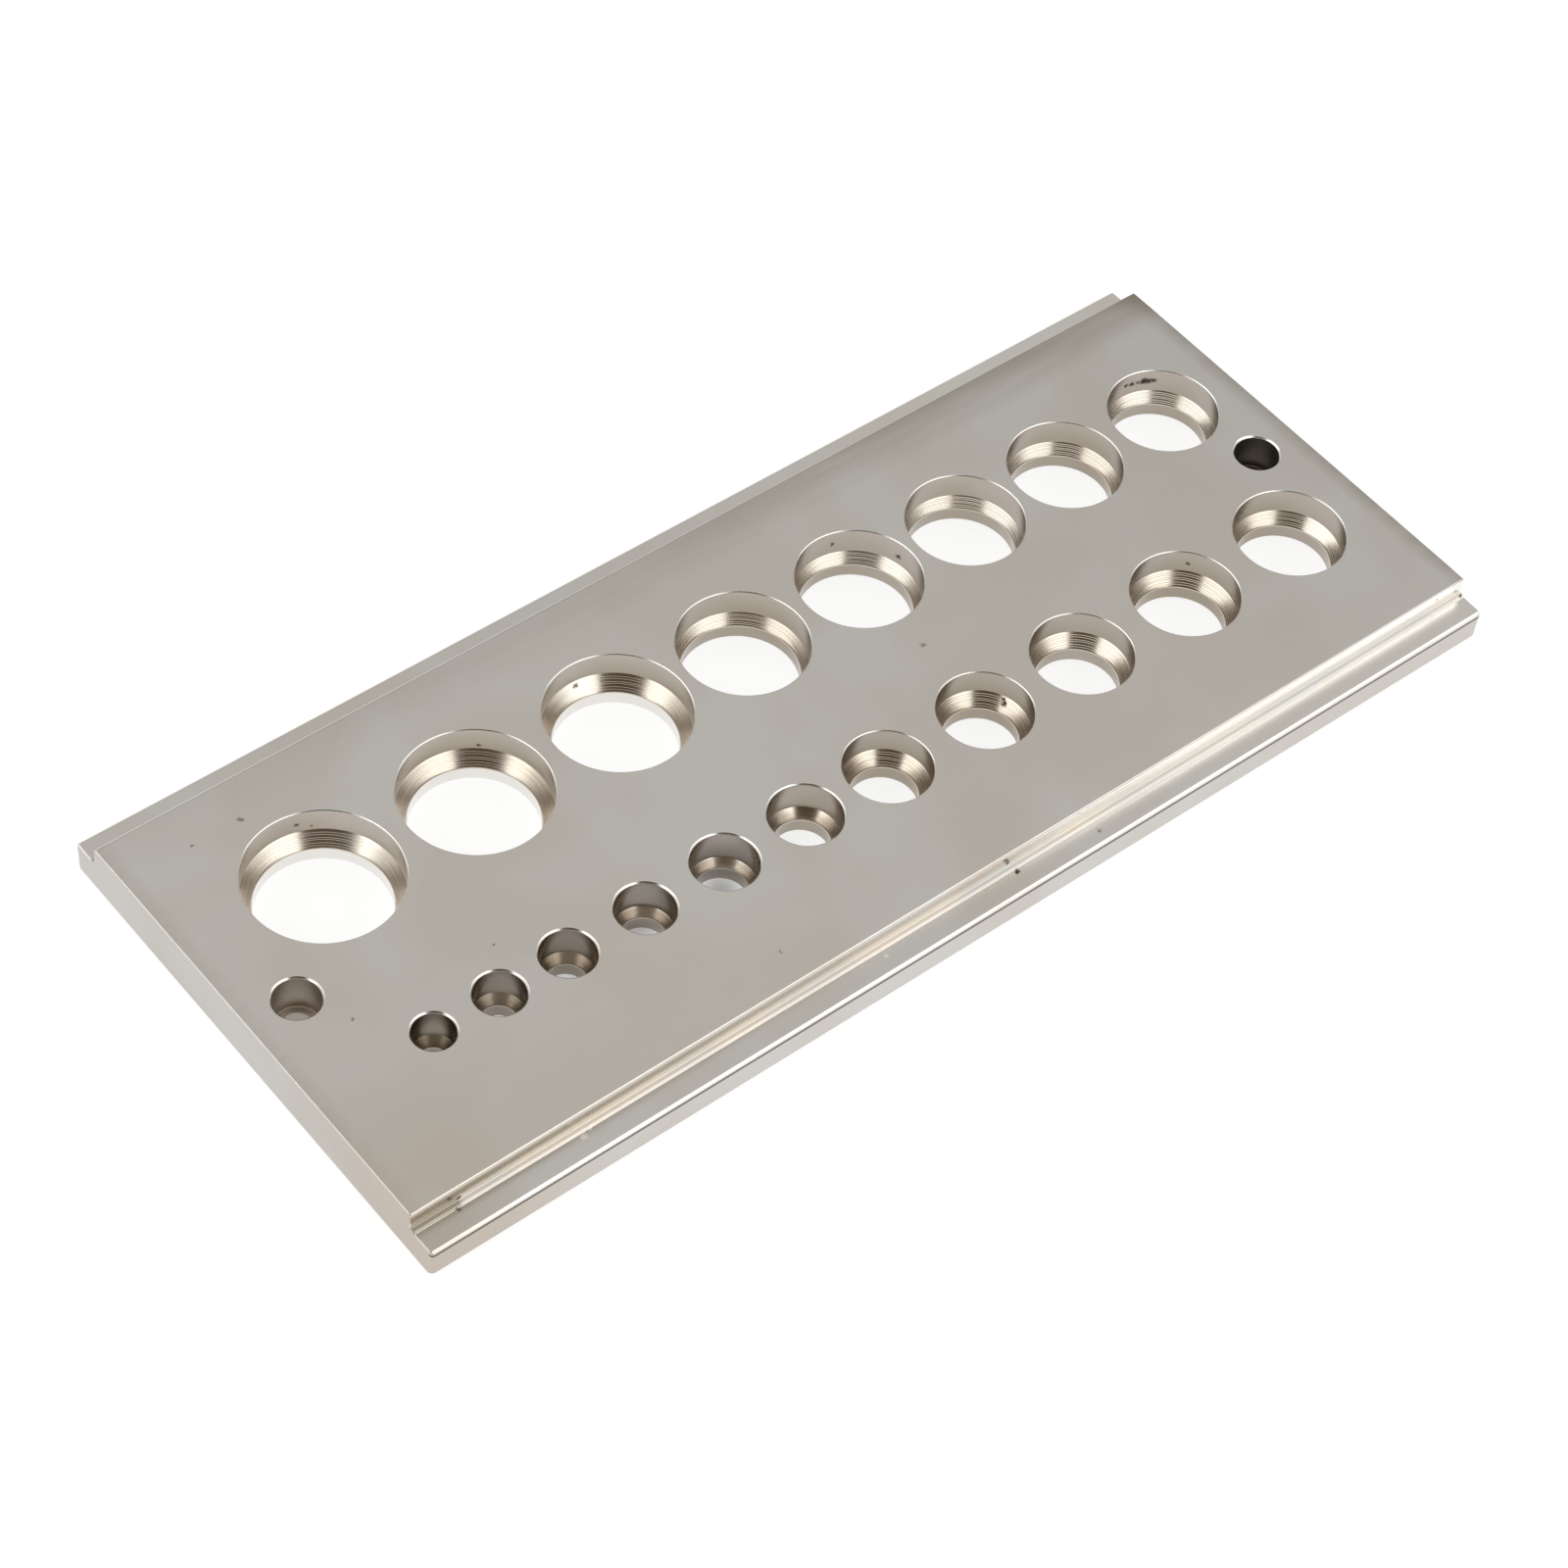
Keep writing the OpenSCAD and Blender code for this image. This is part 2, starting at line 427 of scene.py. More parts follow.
def screw_profile():
    """The same for a screw hole: a straight recess for the head, a flat floor, and the shank's bore."""
    mouth = mouth_profile(HEAD_RADIUS, NARROW_BREAK)
    corners = [(HEAD_RADIUS, HEAD_FLOOR + 0.5), (HEAD_RADIUS, HEAD_FLOOR), (screw_radius, HEAD_FLOOR),
               (screw_radius, HEAD_FLOOR - 0.5)]
    floor = eased(corners, [0, 0.12, EASE, 0], steps=2)
    leave = exit_profile(screw_radius)
    below = len(mouth) - MOUTH_BREAK_RINGS + len(floor) + len(leave)
    return np.concatenate([mouth, floor, leave]), ["face"] * MOUTH_BREAK_RINGS + ["drilled"] * below


largest = die_profile(die_radii[0], SEAT_WIDTHS[0], SEAT_HEIGHTS[0])[0]
print("rings in the largest hole:", len(largest))

# %% [markdown]
# Turning all the holes
#
# Each profile is swept round its own axis as one grid. Its outermost ring on the face and the one on the
# underside are kept, because the two flats have to meet them point by point.

# %% Turned holes
AROUND = 96
turn_angle = np.linspace(0, 2 * np.pi, AROUND, endpoint=False)
circle = np.stack([np.cos(turn_angle), np.sin(turn_angle)], 1)
mouth_rings, exit_rings = [], []


def turn_hole(centre, profile, finish):
    """Turns a profile (radius, height) round an upright axis: centre + radius * (cos t, sin t), height."""
    plan = centre + profile[:, None, :1] * circle[None]
    height = np.broadcast_to(profile[:, 1][:, None, None], plan.shape[:2] + (1,))
    points = np.concatenate([plan, height], -1)
    faces = grid_faces(len(profile), AROUND, around=True)
    names = np.broadcast_to(np.array(finish, dtype=object)[: len(profile) - 1, None], faces.shape[:2])
    add_patch(points.reshape(-1, 3), faces.reshape(-1, 4), names.reshape(-1))
    mouth_rings.append(points[0, :, :2])
    exit_rings.append(points[-1, :, :2])


for centre, bore, width, height in zip(die_middles, die_radii, SEAT_WIDTHS, SEAT_HEIGHTS):
    turn_hole(centre, *die_profile(bore, width, height))
for centre in screw_middles:
    turn_hole(centre, *screw_profile())
print("holes turned:", len(mouth_rings))

# %% [markdown]
# The two flats
#
# The face and the underside are flat with round openings, and a single face of a mesh can't have a hole in
# it. A constrained Delaunay triangulation fills such a shape: it joins every border point and every rim
# point, never crosses a border, and then the triangles that fall inside a hole are thrown away. The face
# first gets a frame of narrow bands along its borders, which carry the buffed roll-off, and only the flat
# inside them is filled.

# %% Filling a flat
SAME_POINT = 1e-6
WHOLE_HULL = 0
INSIDE_SHARE = 0.9995


def fill_flat(outline, openings, height, finish):
    """Fills the flat inside a closed outline and outside the round openings, at one height."""
    loops = [outline, *openings]
    starts = np.cumsum([0] + [len(loop) for loop in loops])
    edges = [(int(s + i), int(s + (i + 1) % len(loop))) for s, loop in zip(starts, loops)
             for i in range(len(loop))]
    plan = np.concatenate(loops)
    filled = delaunay_2d_cdt([Vector(p) for p in plan], edges, [], WHOLE_HULL, SAME_POINT, True)
    triangles, origins = filled[2], filled[3]
    source = np.array([found[0] for found in origins])
    triangles = source[np.array(triangles)]
    middle = plan[triangles].mean(1)
    centres = np.array([ring.mean(0) for ring in openings])
    radii = np.array([np.linalg.norm(ring[0] - centre) for ring, centre in zip(openings, centres)])
    distance = np.linalg.norm(middle[:, None] - centres[None], axis=2)
    triangles = triangles[(distance > radii * INSIDE_SHARE).all(1)]
    add_patch(np.column_stack([plan, np.full(len(plan), height)]), triangles, finish)
    return len(triangles)


# %% Face and underside
BANDS = 8


def span_outline(span):
    """Closed outline of one open span of the skin: down one end, along a side, up the other end and back."""
    stations = rings[first_station : last_station + 1, :, :2]
    return np.concatenate([
        stations[0, span], stations[1:-1, span[-1]], stations[-1, span[::-1]], stations[-2:0:-1, span[0]]])


outline = span_outline(face_span)
inner_half = np.array([LENGTH / 2 - ROLL_END, half_face - ROLL_SIDE])
share = np.linspace(0, 1, BANDS + 1)[:, None, None]
bands = outline[None] * (1 - share * (1 - inner_half / outline.max(0)))
band_points = np.concatenate([bands, np.full(bands.shape[:2] + (1,), THICKNESS)], -1)
band_faces = grid_faces(*bands.shape[:2], around=True).reshape(-1, 4)
add_patch(buffed(band_points.reshape(-1, 3)), band_faces, "face")
face_count = fill_flat(bands[-1], mouth_rings, THICKNESS, "face")
base_count = fill_flat(span_outline(base_span), exit_rings, 0.0, "ground")
print("face filled with", face_count, "triangles, underside with", base_count)

# %% [markdown]
# Sewing the skin
#
# All patches go into one mesh. Points that lie on each other are merged, which closes the seams, and then
# the normals are worked out afresh so that every face points outwards. A closed skin has no edge with only
# one face, and the print below counts them. The whole skin is shaded smooth, apart from the rings between
# the facets of the seats: those were cut in separate bites, and they stay crisp.

# %% Make the mesh
CRISP_ANGLE = math.radians(15)
MERGE_REACH = 0.0002 * MM
points = np.concatenate(basket["points"]) * MM
mesh = bpy.data.meshes.new("dowel_plate")
mesh.from_pydata(points.tolist(), [], basket["faces"])
mesh.polygons.foreach_set("material_index", np.array(basket["finish"], np.int32))

work = bmesh.new()
work.from_mesh(mesh)
bmesh.ops.remove_doubles(work, verts=work.verts, dist=MERGE_REACH)
bmesh.ops.recalc_face_normals(work, faces=work.faces)
loose_edges = sum(1 for edge in work.edges if len(edge.link_faces) != 2)
seat_faces = FINISHES.index("turned")
for edge in work.edges:
    of_seat = any(face.material_index == seat_faces for face in edge.link_faces)
    edge.smooth = not of_seat or edge.calc_face_angle(0) < CRISP_ANGLE
work.to_mesh(mesh)
work.free()

mesh.polygons.foreach_set("use_smooth", np.ones(len(mesh.polygons), bool))
mesh.update()
plate = bpy.data.objects.new("dowel_plate", mesh)
bpy.context.scene.collection.objects.link(plate)
triangle_count = sum(len(polygon.vertices) - 2 for polygon in mesh.polygons)
print("dowel_plate:", len(mesh.vertices), "points,", triangle_count, "triangles,", loose_edges, "open edges")

# %% [markdown]
# Nodes with one helper
#
# Every finish below is a small tree of shader nodes. One helper adds a node, sets its options, and either
# sets each of its inputs or links a socket into it. Colours are written as the hex values that a paint
# program shows, and one function turns them into the linear values that Blender calculates with.

# %% Helpers for finishes
def linear(hex_colour):
    """An sRGB hex colour as linear RGBA: c/12.92 near black, and ((c + 0.055) / 1.055)^2.4 above."""
    srgb = [int(hex_colour[i : i + 2], 16) / 255 for i in (1, 3, 5)]
    return tuple(c / 12.92 if c <= 0.04045 else ((c + 0.055) / 1.055) ** 2.4 for c in srgb) + (1.0,)


def node(tree, kind, inputs=None, **settings):
    """Adds a node to a tree with its options. `inputs` are values for its sockets, or sockets to link in."""
    made = tree.nodes.new(kind)
    for name, value in settings.items():
        setattr(made, name, value)
    for key, value in (inputs or {}).items():
        if isinstance(value, bpy.types.NodeSocket):
            tree.links.new(value, made.inputs[key])
        else:
            made.inputs[key].default_value = value
    return made


# %% [markdown]
# Nickel
#
# The plating is nickel: a white metal with a faint warm tint, a little darker than silver and warmer than
# chrome. One material could cover the whole bar, but a metal shows mostly what it reflects, and that depends
# on how finely each surface was worked. So there are nine finishes. Each one is a metallic shader with three
# layers: a colour that drifts a little between two close greys, because a bath never plates quite evenly, a
# roughness for the grain, and a bump for the marks of the tool. Over these lie real marks, painted shade and
# painted highlights, each one a mask with its own colour, and many of them change the roughness too.

# %% Nickel and its tool marks
CLOUD_SIZE = 18


def tool_marks(tree, place, grain, detail=3.0):
    """Noise stretched into grains of the given size in millimetres along X, Y and Z: scale = 1 / size."""
    scale = [1 / (size * MM) for size in grain]
    stretched = node(tree, "ShaderNodeMapping", {"Vector": place, "Scale": scale}).outputs[0]
    noise = node(tree, "ShaderNodeTexNoise", {"Vector": stretched, "Scale": 1.0, "Detail": detail})
    return noise.outputs[0]


def nickel(name, colours, roughness, spread, grain, depth, stains_and_shades=()):
    """
    Nickel plate over one kind of tool marks: their grain along each axis and their depth in millimetres.
    Each stain, painted shade or painted highlight is a mask function, the mask's settings, its colour, and
    what it adds to the roughness.
    """
    material = bpy.data.materials.new(name)
    material.use_nodes = True
    tree = material.node_tree
    shader = tree.nodes["Principled BSDF"]
    shader.inputs["Metallic"].default_value = 1.0
    place = node(tree, "ShaderNodeTexCoord").outputs["Object"]
    cloud = tool_marks(tree, place, (CLOUD_SIZE,) * 3, 2.0)
    patchy = node(tree, "ShaderNodeMapRange", {0: cloud, 1: 0.40, 2: 0.60}).outputs[0]
    colour = node(tree, "ShaderNodeMix", {0: patchy, 6: linear(colours[0]), 7: linear(colours[1])},
                  data_type="RGBA").outputs[2]
    marks = tool_marks(tree, place, grain)
    rough = node(tree, "ShaderNodeMapRange",
                 {0: marks, 3: roughness - spread, 4: roughness + spread}).outputs[0]
    for mask, settings, stain, dulling in stains_and_shades:
        share = mask(tree, place, *settings)
        colour = node(tree, "ShaderNodeMix", {0: share, 6: colour, 7: linear(stain)},
                      data_type="RGBA").outputs[2]
        rough = node(tree, "ShaderNodeMath", {0: share, 1: dulling, 2: rough},
                     operation="MULTIPLY_ADD").outputs[0]
    bump = node(tree, "ShaderNodeBump", {"Height": marks, "Strength": 1.0, "Distance": depth * MM})
    tree.links.new(colour, shader.inputs["Base Color"])
    tree.links.new(rough, shader.inputs["Roughness"])
    tree.links.new(bump.outputs["Normal"], shader.inputs["Normal"])
    return material


# %% [markdown]
# Where the metal is stained, and where light and shade are painted
#
# Handling leaves its traces in known places, such as the nick that a dropped peg leaves. Other masks paint
# light and shade into the colour: painted shade along the face's borders and in its far right corner, where
# the buffed metal mirrors a darker part of the room, and painted highlights on the rebate and in the widest
# bores. They could be painted on a picture, but the bar would have to be unwrapped for it. So each mask
# below starts from a place on the bar in millimetres. They are soft and uneven on purpose, because a stain
# with a clean border looks like paint.

# %% Soft masks
def fading(tree, place, middle, reach, strength):
    """Soft cloud: `strength` at its middle, nothing at `reach` millimetres out, one reach for each axis."""
    scaled = node(tree, "ShaderNodeMapping", {
        "Vector": place, "Scale": [1 / (size * MM) for size in reach],
        "Location": [-m / r for m, r in zip(middle, reach)]})
    length = node(tree, "ShaderNodeVectorMath", {0: scaled.outputs[0]}, operation="LENGTH")
    return node(tree, "ShaderNodeMapRange", {0: length.outputs["Value"], 3: strength, 4: 0.0},
                interpolation_type="SMOOTHSTEP").outputs[0]


def between(tree, place, axis, start, end, strength):
    """Grows from 0 at `start` to `strength` at `end`, two places in millimetres along one axis."""
    along = node(tree, "ShaderNodeSeparateXYZ", {0: place}).outputs[axis]
    ends = {1: start * MM, 2: end * MM, 3: 0.0, 4: strength}
    return node(tree, "ShaderNodeMapRange", {0: along, **ends}).outputs[0]


# %% Painted shade towards the borders
def painted_border_shade(tree, place, start, reach, streaks, grows, strength):
    """
    Painted shade towards the two borders past `start`, where the buffed face mirrors a darker part of the
    room: with q = max((place - start) / reach, 0), it grows with the length of q from 0.2 to 1.1. A negative
    reach turns it to the other border. Noise in streaks, in millimetres, breaks it up, and along the bar it
    grows between the two X places of `grows`.
    """
    scaled = node(tree, "ShaderNodeMapping", {
        "Vector": place, "Scale": [1 / (reach[0] * MM), 1 / (reach[1] * MM), 0.0],
        "Location": (-start[0] / reach[0], -start[1] / reach[1], 0.0)})
    past = node(tree, "ShaderNodeVectorMath", {0: scaled.outputs[0], 1: (0, 0, 0)}, operation="MAXIMUM")
    length = node(tree, "ShaderNodeVectorMath", {0: past.outputs[0]}, operation="LENGTH").outputs["Value"]
    darkening = node(tree, "ShaderNodeMapRange", {0: length, 1: 0.2, 2: 1.1}).outputs[0]
    noise = tool_marks(tree, place, streaks)
    uneven = node(tree, "ShaderNodeMapRange", {0: noise, 1: 0.35, 2: 0.60, 3: 0.6, 4: 1.0}).outputs[0]
    broken = node(tree, "ShaderNodeMath", {0: darkening, 1: uneven}, operation="MULTIPLY").outputs[0]
    growth = between(tree, place, "X", *grows, strength)
    return node(tree, "ShaderNodeMath", {0: broken, 1: growth}, operation="MULTIPLY").outputs[0]


# %% Spots
RAGGED = 0.4


def spots(tree, place, blots):
    """Small ragged blots, each x, y, z and radius in millimetres: noise shifts the place by up to RAGGED."""
    shake = node(tree, "ShaderNodeTexNoise", {"Vector": place, "Scale": 1 / (RAGGED * MM), "Detail": 2.0})
    offset = node(tree, "ShaderNodeVectorMath", {
        0: shake.outputs[1], 1: (2 * RAGGED * MM,) * 3, 2: (-RAGGED * MM,) * 3}, operation="MULTIPLY_ADD")
    ragged = node(tree, "ShaderNodeVectorMath", {0: place, 1: offset.outputs[0]}, operation="ADD").outputs[0]
    total = None
    for x, y, z, radius in blots:
        away = node(tree, "ShaderNodeVectorMath", {0: ragged, 1: (x * MM, y * MM, z * MM)},
                    operation="DISTANCE").outputs["Value"]
        fall = {1: 0.3 * radius * MM, 2: radius * MM, 3: 1.0, 4: 0.0}
        blot = node(tree, "ShaderNodeMapRange", {0: away, **fall}).outputs[0]
        total = blot if total is None else node(
            tree, "ShaderNodeMath", {0: total, 1: blot}, operation="MAXIMUM").outputs[0]
    return total


# %% Masks for some of the holes
def narrow_shade(tree, place, start, end, strength):
    """As `between` along X, but in the front row only, where the holes get narrower from right to left."""
    front = between(tree, place, "Y", -2, -6, 1.0)
    along = between(tree, place, "X", start, end, strength)
    return node(tree, "ShaderNodeMath", {0: front, 1: along}, operation="MULTIPLY").outputs[0]


def wide_bore_glare(tree, place, strength):
    """Mask for a painted glare on the bores of the three widest holes, which stand so near the white paper
    that they mirror it.
    """
    back = between(tree, place, "Y", 0, 1, 1.0)
    left = between(tree, place, "X", -7, -8, 1.0)
    under_seat = between(tree, place, "Z", SEAT_FOOT, SEAT_FOOT - 0.05, strength)
    product = node(tree, "ShaderNodeMath", {0: back, 1: left}, operation="MULTIPLY").outputs[0]
    return node(tree, "ShaderNodeMath", {0: product, 1: under_seat}, operation="MULTIPLY").outputs[0]


# %% [markdown]
# The marks of use
#
# A few dark specks sit on the face, and the cutter left a dark tick wherever it stopped and started again.
# Inside the holes, small pits show where the drill tore the steel before it was plated. Each mark is x, y, z
# and radius in millimetres. A pit is placed by its hole, by its angle to the left of the direction away from
# the camera, and by its depth below the face.

# %% Specks, nicks and pits
FACE_SPECKS = [(-60.9, 23.4, 7, 0.42), (-67.2, 23.4, 7, 0.32), (16.7, -0.3, 7, 0.45), (-48.7, -6.4, 7, 0.3),
               (-24.3, -25.0, 7, 0.3), (-66.5, -5.7, 7, 0.26)]
WALL_NICKS = [(4.8, -29.2, 5.3, 0.42), (-69.9, -29.2, 4.9, 0.42), (71.7, -29.2, 6.0, 0.26)]
LEDGE_NICKS = [(5.5, -30.2, 4.3, 0.42), (-70.5, -30.0, 4.4, 0.40), (16.8, -31.2, 4.3, 0.34),
               (75.5, -29.6, 4.5, 0.26)]
LEDGE_SCRATCHES = [(-54.7, -30.4, 4.3, 0.5), (-53.5, -29.9, 4.5, 0.4), (-13.8, -30.8, 4.3, 0.35)]


def pit(number, angle, depth, radius):
    """Place of a pit on the wall or seat of a die: its middle + r * (direction turned by the angle)."""
    bore, width, height = die_radii[number], SEAT_WIDTHS[number], SEAT_HEIGHTS[number]
    share = np.interp(THICKNESS - depth, [SEAT_FOOT, SEAT_FOOT + height], [0, 1])
    turned = AZIMUTH - math.radians(angle)
    reach = bore + width * share
    x, y = die_middles[number] + reach * np.array([math.sin(turned), math.cos(turned)])
    return float(x), float(y), THICKNESS - depth, radius


WALL_PITS = [pit(7, 42, 1.7, 0.4), pit(7, 34, 1.8, 0.48), pit(7, 27, 1.85, 0.42), pit(7, 20, 1.75, 0.7),
             pit(7, 15, 1.8, 0.66), pit(7, 10, 1.75, 0.5), pit(0, 28, 2.0, 0.4), pit(0, 17, 2.6, 0.3),
             pit(4, -34, 2.3, 0.46), pit(4, 28, 2.0, 0.36), pit(17, -3, 2.0, 0.3), pit(1, 6, 2.7, 0.34)]
SEAT_PITS = [pit(15, -27, 3.9, 0.5), pit(15, -23, 3.6, 0.34), pit(2, 41, 3.6, 0.4)]
marks_on_bar = FACE_SPECKS + WALL_NICKS + LEDGE_NICKS + LEDGE_SCRATCHES
print("marks of use:", len(marks_on_bar), "on the bar,", len(WALL_PITS) + len(SEAT_PITS), "in the holes")

# %% [markdown]
# Six finishes outside
#
# The face was buffed, the sides and the underside were ground, and the two ends were faced off more roughly.
# The rebate was milled: its wall is the smoothest cut, its small step carries the ripples of the cutter, and
# the ledge, which is the top of the rail, lies between the two. A note at each finish says what it gives the
# eye. Real buffing and grinding lines are a hundredth of a millimetre apart. That is too fine to show, so all
# the grains below are drawn ten or more times as coarse.

# %% Colours of the metal
NICKEL, NICKEL_WARM = "#d5d3d0", "#d1ccc6"
SIDE_NICKEL, SIDE_WARM = "#cdcac6", "#c9c4bd"
END_NICKEL, END_WARM = "#c3bfbb", "#bdb8b1"
FRESH_CUT = "#e6ddd1"
# The glare colour is a painted highlight. The scratch colour is that of real bright scratches.
PAINTED_GLARE, SCRATCH = "#f8f6f2", "#f4f0ea"
BORDER_SHADE, WARM_TINT, WARM_TINT_FAINT, FAR_CORNER_SHADE = "#a39a8b", "#cbc0b3", "#c9bfb0", "#8f8475"
CORNER_SHADE_TINT, OLIVE = "#beb0a1", "#ada496"
SPECK, GRIME, EDGE_SHADE = "#8f867b", "#4a4136", "#453e36"

# Painted shade: the sides, ends and ledge are drawn browner and darker towards the near left corner.
near_corner_shade = (fading, ((-76, -33, 3), (34, 28, 28), 0.75))
# Painted shade: a dark line drawn under the rail's bright top edge, on the sides and the ledge.
edge_shade_line = (fading, ((0, -32.9, 3.75), (900, 3, 0.26), 1.0), EDGE_SHADE, 0.1)
finishes = {}

# %% Face, sides and ends
# Buffed: it mirrors the room as one soft even grey. Painted shade darkens it towards the borders and in
# the far right corner, and a warmer tint lies towards the near left.
finishes["face"] = nickel(
    "buffed_nickel_plate", (NICKEL, NICKEL_WARM), 0.24, 0.03, (4, 0.45, 4), 0.002, [
        # Painted shade: the face is drawn darker and a little rougher towards its borders.
        (painted_border_shade, ((73, 21), (4, 9), (20, 2, 20), (-80, 60), 0.85), BORDER_SHADE, 0.04),
        (painted_border_shade, ((-73, -60), (-4, -90), (1.6, 0.9, 9), (0, -50), 0.45), BORDER_SHADE, 0.04),
        # A warmer, slightly darker tint towards the near left, and a faint one near the front middle.
        (fading, ((-58, -27, 7), (70, 18, 9), 0.45), WARM_TINT, 0.0),
        (fading, ((4, -26, 7), (11, 8, 5), 0.2), WARM_TINT_FAINT, 0.0),
        # Painted shade: the far right corner of the face is drawn darker and a little rougher.
        (fading, ((78, 31, 7), (9, 8, 5), 0.9), FAR_CORNER_SHADE, 0.03),
        (spots, (FACE_SPECKS,), SPECK, 0.1)])
# Ground: a bright sheen with fine level lines, and a dark line of painted shade under the bright top edge.
finishes["ground"] = nickel(
    "ground_nickel_plate", (SIDE_NICKEL, SIDE_WARM), 0.26, 0.04, (3.3, 3.3, 0.17), 0.004, [
        (*near_corner_shade, CORNER_SHADE_TINT, 0.03),
        edge_shade_line])
# Faced off: rougher cross marks, so the ends spread the light and look flat.
finishes["faced"] = nickel(
    "faced_nickel_plate", (END_NICKEL, END_WARM), 0.30, 0.05, (0.2, 3.3, 0.3), 0.006, [
        (*near_corner_shade, CORNER_SHADE_TINT, 0.03)])
print("outer finishes:", list(finishes))

# %% Rebate
# Milled and rubbed: long thin streaks. A painted highlight makes it lighter to the right.
finishes["ledge"] = nickel(
    "milled_ledge_nickel_plate", (NICKEL, NICKEL_WARM), 0.25, 0.04, (9, 0.2, 0.2), 0.003, [
        (fading, ((-76, -33, 4), (14, 9, 9), 0.5), CORNER_SHADE_TINT, 0.03),
        (between, ("X", 0, 60, 0.35), PAINTED_GLARE, 0.0),
        edge_shade_line,
        (spots, (LEDGE_NICKS,), GRIME, 0.3),
        (spots, (LEDGE_SCRATCHES,), SCRATCH, 0.25)])
# Rippled: short waves across the step break the light into a soft pale band.
finishes["stepped"] = nickel(
    "rippled_nickel_plate", (FRESH_CUT, NICKEL), 0.44, 0.05, (0.3, 2.0, 2.0), 0.02, [
        (between, ("X", -69.6, -70.2, 1.0), OLIVE, -0.22),
        (spots, (LEDGE_NICKS,), GRIME, 0.2),
        (spots, (LEDGE_SCRATCHES,), SCRATCH, 0.0)])
# Milled clean: nearly a mirror, so it draws the room out into long bright and dark lines. Painted shade
# darkens it in olive towards the left, and a painted highlight lightens it to the right and near its foot.
finishes["milled"] = nickel(
    "milled_wall_nickel_plate", (NICKEL, NICKEL_WARM), 0.18, 0.04, (16, 0.11, 0.11), 0.005, [
        (between, ("X", 20, -62, 1.0), OLIVE, 0.02),
        (between, ("X", 5, 30, 0.9), PAINTED_GLARE, 0.0),
        (between, ("Z", 5.6, 5.05, 0.55), PAINTED_GLARE, 0.0),
        (spots, (WALL_NICKS,), GRIME, 0.3)])
print("finishes of the rebate:", list(finishes)[3:])

# %% [markdown]
# Three finishes in the holes
#
# In the holes, the straight walls were bored. Less light gets down into a hole than onto the face, so the
# walls' colour is painted darker than the face's, and browner still in the narrow holes: both are painted
# shade. The seats were cut last, with a turning tool, and their rings show through the plating. The screw
# holes were only drilled, and hardly any plating got down into them.

# %% Holes
TURNED, TURNED_WARM = "#d8d0c5", "#cdc3b5"
# Painted shade: the bored walls' colours are darker than the face's nickel.
BORE_SHADE_GREY, BORE_SHADE_WARM = "#b2a99f", "#a59b8d"
DULL, DULL_WARM = "#cbc2b7", "#bdb3a7"
PALE_TOP_LIGHT, NARROW_SHADE_BROWN, RIGHT_RECESS_SHADE = "#c0b9b1", "#6b6052", "#635b50"
# Painted shade: walls and seats of the narrow front holes are drawn browner, more so to the left.
narrow_hole_shade = (narrow_shade, (-40, -60, 0.30), NARROW_SHADE_BROWN, 0.0)

# Bored: painted darker than the face as shade, and paler towards the mouth as painted light, with faint
# rings that draw each highlight down the wall.
finishes["bored"] = nickel(
    "bored_nickel_plate", (BORE_SHADE_GREY, BORE_SHADE_WARM), 0.24, 0.05, (4, 4, 0.28), 0.006, [
        # Painted light: the bored walls are drawn paler towards the mouth.
        (between, ("Z", 4.2, 6.8, 0.55), PALE_TOP_LIGHT, 0.0),
        (wide_bore_glare, (0.8,), PAINTED_GLARE, 0.0),
        narrow_hole_shade,
        (spots, (WALL_PITS,), GRIME, 0.3)])
# Turned: sharp rings that glint on both sides of a dark middle. Painted shade browns them in the narrow
# holes.
finishes["turned"] = nickel(
    "turned_nickel_plate", (TURNED, TURNED_WARM), 0.21, 0.05, (14, 14, 0.24), 0.010, [
        narrow_hole_shade,
        (spots, (SEAT_PITS,), GRIME, 0.3)])
# Drilled: rough and thinly plated, so the recess looks dull. The recess at the right end is painted darker,
# as painted shade.
finishes["drilled"] = nickel(
    "drilled_steel_thinly_plated", (DULL, DULL_WARM), 0.42, 0.06, (3.3, 3.3, 0.14), 0.02, [
        # Painted shade: the right screw recess is drawn much darker.
        (between, ("X", 0, 1, 0.8), RIGHT_RECESS_SHADE, 0.0)])
for name in FINISHES:
    mesh.materials.append(finishes[name])
print("finishes:", [material.name for material in mesh.materials])

# %% [markdown]
# The room
#
# Metal shows the room around it, so the room is half of the material. This one is a small photographer's
# studio: a white sweep that climbs into a grey wall, and a lighter grey ceiling, which the face mirrors as
# its even tone. A picture of a real studio could stand in for it, but two ramps of grey are easier to match.
# The world's brightness depends only on how high a ray points: its Z from 0 at the horizon to 1 straight up.

# %% World
WALL_STARTS, WALL_ENDS, WALL_LOW, WALL_HIGH = 0.20, 0.60, 0.95, 0.34
CEILING_STARTS, CEILING_ENDS, CEILING_ADDS = 0.56, 0.71, 0.36
world = bpy.data.worlds.new("studio")
bpy.context.scene.world = world
world.use_nodes = True
room = world.node_tree
room.nodes.clear()
direction = node(room, "ShaderNodeTexCoord").outputs["Generated"]
rise = node(room, "ShaderNodeSeparateXYZ", {0: direction}).outputs["Z"]
wall = node(room, "ShaderNodeMapRange", {0: rise, 1: WALL_STARTS, 2: WALL_ENDS, 3: WALL_LOW, 4: WALL_HIGH})
ceiling = node(room, "ShaderNodeMapRange", {0: rise, 1: CEILING_STARTS, 2: CEILING_ENDS, 3: 0.0,
                                            4: CEILING_ADDS}, interpolation_type="SMOOTHSTEP")
brightness = node(room, "ShaderNodeMath", {0: wall.outputs[0], 1: ceiling.outputs[0]}, operation="ADD")
